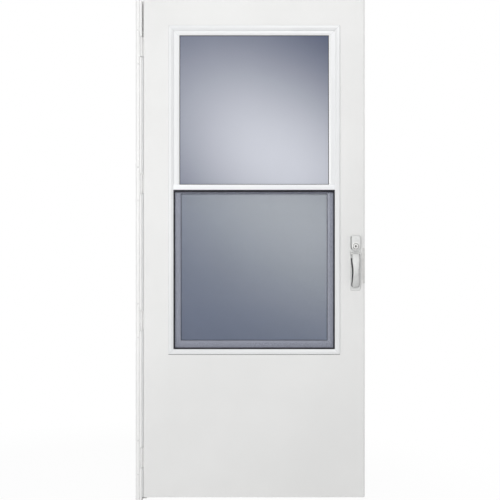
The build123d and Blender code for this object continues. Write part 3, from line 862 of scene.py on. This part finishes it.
HALF_WIDTH_STOPS = ((0.0, 14.9), (0.16, 15.1), (0.54, 11.3), (0.80, 13.2), (0.94, 14.8), (1.0, 11.0))
HALF_DEPTH_STOPS = ((0.0, 5.6), (0.15, 5.0), (0.55, 4.6), (0.9, 4.6), (1.0, 3.0))
GRIP_BACKS = ((0.0, 0.8), (1.0, 0.5))
GRIP_CORNER = 0.66
ROUND_EDGES = 60.0


def loft(work, wider, fronts, backs, corner):
    """Rounded sections along the bow. Fronts and backs are shares of the depth, corner rounds the section."""
    rings = []
    for number in range(SECTIONS + 1):
        share = number / SECTIONS
        spot = bow(share)
        ahead = bow(min(share + NEARBY, 1.0)) - bow(max(share - NEARBY, 0.0))
        out = Vector((0, ahead.z, -ahead.y)).normalized()
        half_width = blend_between(share, HALF_WIDTH_STOPS) * MM + wider
        depth = blend_between(share, HALF_DEPTH_STOPS) * MM
        front = fronts * depth
        back = blend_between(share, backs) * depth
        ring = []
        for point in range(SECTION_POINTS):
            angle = 2 * math.pi * point / SECTION_POINTS
            c, s = math.cos(angle), math.sin(angle)
            across = math.copysign(abs(c) ** corner, c) * half_width
            outward = math.copysign(abs(s) ** corner, s) * (front if s > 0 else back)
            ring.append(work.verts.new(spot + Vector((across, 0, 0)) + out * outward))
        rings.append(ring)
    bridge(work, rings)


def polished(piece):
    rounding = piece.modifiers.new("polish", "SUBSURF")
    rounding.levels = 1
    rounding.render_levels = 1
    return piece


grip = bmesh.new()
loft(grip, wider=0.0, fronts=1.0, backs=GRIP_BACKS, corner=GRIP_CORNER)
pull_grip = polished(place("pull_grip", grip, "pull", "white_hardware", angle=ROUND_EDGES))
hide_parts("pull_handle")
print("pull from", [round(v, 4) for v in grip_low], "to", [round(v, 4) for v in grip_high])

# %% [markdown]
# Behind the face the pull carries a black liner, a painted shade for the shaded flank of the pull. It runs along
# the same bow, a little wider than the face, so from the side it shows as one dark line that follows the edge.

# %% Painted shade liner of the pull
LINER_WIDER = 0.3 * MM
LINER_FRONT = 0.1
LINER_CORNER = 0.4
LINER_BACKS = ((0.0, 0.8), (0.2, 1.2), (0.5, 2.2), (0.8, 1.6), (1.0, 0.9))
# A painted shade: the black liner along the pull's flank.
liner = bmesh.new()
loft(liner, wider=LINER_WIDER, fronts=LINER_FRONT, backs=LINER_BACKS, corner=LINER_CORNER)
polished(place("pull_shade_liner", liner, "pull", "black_rubber", angle=ROUND_EDGES))

# %% [markdown]
# Behind the pull a thin black pad lies on the plate, a painted shade for the shade behind the pull. It has the
# pull's own outline and is about two millimetres wider on each side. From the middle of the door one sees past the
# pull's left edge onto the pad, and the dark line grows to its full width.

# %% Painted shade pad behind the pull
PAD_WIDER = ((0.0, 2.5), (0.3, 2.5), (0.5, 2.0), (0.8, 1.8), (1.0, 2.0))
PAD_FROM, PAD_TO = 0.13, 0.985
PAD_RISE = 0.5 * MM
PAD_STEPS = 28
plate_face = plate_high.y - PLATE_THICKNESS
# A painted shade: the black pad behind the pull.
pad = bmesh.new()
outline = []
for step in range(PAD_STEPS + 1):
    share = PAD_FROM + (PAD_TO - PAD_FROM) * step / PAD_STEPS
    reach = (blend_between(share, HALF_WIDTH_STOPS) + blend_between(share, PAD_WIDER)) * MM
    outline.append((reach, pivot.z + (grip_foot.z - pivot.z) * share))
outline += [(-reach, z) for reach, z in reversed(outline)]
sheets = [
    [pad.verts.new((handle_x + reach, y, z)) for reach, z in outline]
    for y in (plate_face, plate_face - PAD_RISE)
]
bridge(pad, sheets)
place("plate_shade_pad", pad, "door", "black_rubber")

# %% [markdown]
# Round the lock a bright ring is pressed over the cylinder, and a thin black ring lies in the cylinder's face, a
# painted shadow for the shadow under the bright ring. Both are turned from a small rounded outline. The black ring
# is what draws the dark arc beside the keyhole.

# %% Lock ring and its painted shadow
RING_OUTSIDE = 15.2 * MM
RING_INSIDE = 10.6 * MM
RING_RISE = 1.2 * MM
LOCK_SHADOW_OUTSIDE = 11.8 * MM
LOCK_SHADOW_INSIDE = 10.2 * MM
LOCK_SHADOW_RISE = 0.4 * MM
RING_STEPS = 40
ARC_STEPS = 8


def rounded_ring(name, centre, inside, outside, rise, slot_name):
    middle, half = (outside + inside) / 2, (outside - inside) / 2
    outline = []
    for step in range(ARC_STEPS + 1):
        angle = math.pi * step / ARC_STEPS
        outline.append((middle + half * math.cos(angle), rise * math.sin(angle)))
    work = bmesh.new()
    turned(work, outline, centre, outdoors, RING_STEPS, hollow=True)
    return place(name, work, "door", slot_name)


housing_middle = Vector((lock_centre.x, plate_low.y, lock_centre.z))
rounded_ring("lock_ring", housing_middle, RING_INSIDE, RING_OUTSIDE, RING_RISE, "satin_steel")
cylinder_middle = Vector((lock_centre.x, lock_low.y, lock_centre.z))
# A painted shadow: the black ring in the cylinder's face.
rounded_ring(
    "lock_painted_shadow", cylinder_middle, LOCK_SHADOW_INSIDE, LOCK_SHADOW_OUTSIDE, LOCK_SHADOW_RISE, "black_rubber"
)

# %% [markdown]
# The studio is plain: a pale floor that takes a soft shadow, and a white surround. A lamp level is right when
# a colour renders about as bright as it was written. The world only shines white for what the camera sees
# directly, in a mirror or through glass, while it lights the object at a lower level.

# %% Floor and white surround
FLOOR_SIZE = 24.0
FLOOR_WHITE = 0.95
FADE_STARTS, FADE_ENDS = 0.9, 1.8
floor_work = bmesh.new()
corners = [
    floor_work.verts.new((x * FLOOR_SIZE, y * FLOOR_SIZE, cad_box[0].z))
    for x, y in ((-0.5, -0.5), (0.5, -0.5), (0.5, 0.5), (-0.5, 0.5))
]
floor_work.faces.new(corners)
floor_mesh = bpy.data.meshes.new("studio_floor")
floor_work.to_mesh(floor_mesh)
floor_work.free()
floor = bpy.data.objects.new("studio_floor", floor_mesh)
bpy.context.scene.collection.objects.link(floor)
floor_finish = Finish("studio_floor")
floor_point = floor_finish.point()
speckle = floor_finish.noise(floor_point, scale=3.0, detail=2.0)
diffuse = floor_finish.node(
    "ShaderNodeBsdfDiffuse", {}, {"Color": floor_finish.tint(speckle, grey(244), grey(248))}
)
glow = floor_finish.node("ShaderNodeEmission", {}, {"Color": (1.0, 1.0, 1.0, 1.0), "Strength": 1.0})
seen = floor_finish.node("ShaderNodeLightPath", {}, {}, out="Is Camera Ray")
away = floor_finish.node("ShaderNodeVectorMath", {"operation": "LENGTH"}, {0: floor_point}, out="Value")
white = FLOOR_WHITE + (1 - FLOOR_WHITE) * away.within(FADE_STARTS, FADE_ENDS)
surface = floor_finish.node("ShaderNodeMixShader", {}, {0: seen * white, 1: diffuse, 2: glow})
floor_finish.node("ShaderNodeOutputMaterial", {}, {"Surface": surface})
floor_mesh.materials.append(floor_finish.block)

AMBIENT = 0.38
world = bpy.data.worlds.new("studio_world")
bpy.context.scene.world = world
sky = Finish("studio_world", world)
rays = {
    name: sky.node("ShaderNodeLightPath", {}, {}, out=name)
    for name in ("Is Camera Ray", "Is Glossy Ray", "Is Transmission Ray")
}
direct = rays["Is Camera Ray"].most(rays["Is Transmission Ray"]).most(rays["Is Glossy Ray"])
background = sky.node(
    "ShaderNodeBackground",
    {},
    {"Color": (1.0, 1.0, 1.0, 1.0), "Strength": AMBIENT + (1.0 - AMBIENT) * direct},
)
sky.node("ShaderNodeOutputWorld", {}, {"Surface": background})
print("floor at", round(cad_box[0].z, 4), "ambient", AMBIENT)

# %% [markdown]
# Two soft boxes stand outdoors beside the camera, the right one high and the left one low, so the flat leaf
# is lit nearly from the front and each moulding still gets a bright and a dull side. They are placed so that
# their mirror images miss the panes in the picture. A third lamp lights the indoor side. Each row gives the
# place, the width and height of the lamp, and its watts.

# %% Lamps
WHITE_LIGHT = (1.0, 1.0, 1.0)
AIM_HEIGHT = 1.2
LAMPS = {
    "key_lamp": ((1.0, -4.0, 3.5), (1.1, 1.1), 48.0),
    "fill_lamp": ((-1.1, -4.0, 1.5), (1.4, 1.6), 52.0),
    "back_lamp": ((1.2, 3.6, 2.6), (2.4, 2.0), 45.0),
}
target = Vector((leaf_middle.x, 0.0, AIM_HEIGHT))
for name, (where, size, watts) in LAMPS.items():
    light = bpy.data.lights.new(name, "AREA")
    light.shape = "RECTANGLE"
    light.size, light.size_y = size
    light.energy = watts
    light.color = WHITE_LIGHT
    holder = bpy.data.objects.new(name, light)
    holder.location = where
    holder.rotation_euler = (target - Vector(where)).to_track_quat("-Z", "Y").to_euler()
    bpy.context.scene.collection.objects.link(holder)
print("lamps:", len(LAMPS))

# %% [markdown]
# The picture looks straight at the door from a few metres away, level with its middle. The lens is worked out for
# a square frame 500 pixels wide, in which one pixel is 4.04 mm at the leaf's face at that distance.

# %% Camera
PICTURE = 500
PIXEL = 4.04 * MM
SENSOR = 36.0
DISTANCE = 3.6
LEAF_MIDDLE_PIXEL = 254.15
LEAF_FOOT_PIXEL = 497.3
camera_data = bpy.data.cameras.new("camera")
camera_data.sensor_width = SENSOR
camera_data.sensor_fit = "HORIZONTAL"
camera_data.lens = SENSOR * DISTANCE / (PICTURE * PIXEL)
camera_data.clip_end = 100.0
camera = bpy.data.objects.new("camera", camera_data)
camera.location = (
    leaf_middle.x - (LEAF_MIDDLE_PIXEL - PICTURE / 2) * PIXEL,
    skin_low.y - DISTANCE,
    skin_low.z + (LEAF_FOOT_PIXEL - PICTURE / 2) * PIXEL,
)
camera.rotation_euler = (math.pi / 2, 0.0, 0.0)
bpy.context.scene.collection.objects.link(camera)
bpy.context.scene.camera = camera
bpy.context.scene.view_settings.view_transform = "Standard"
print("lens", round(camera_data.lens, 2), "at", [round(v, 3) for v in camera.location])
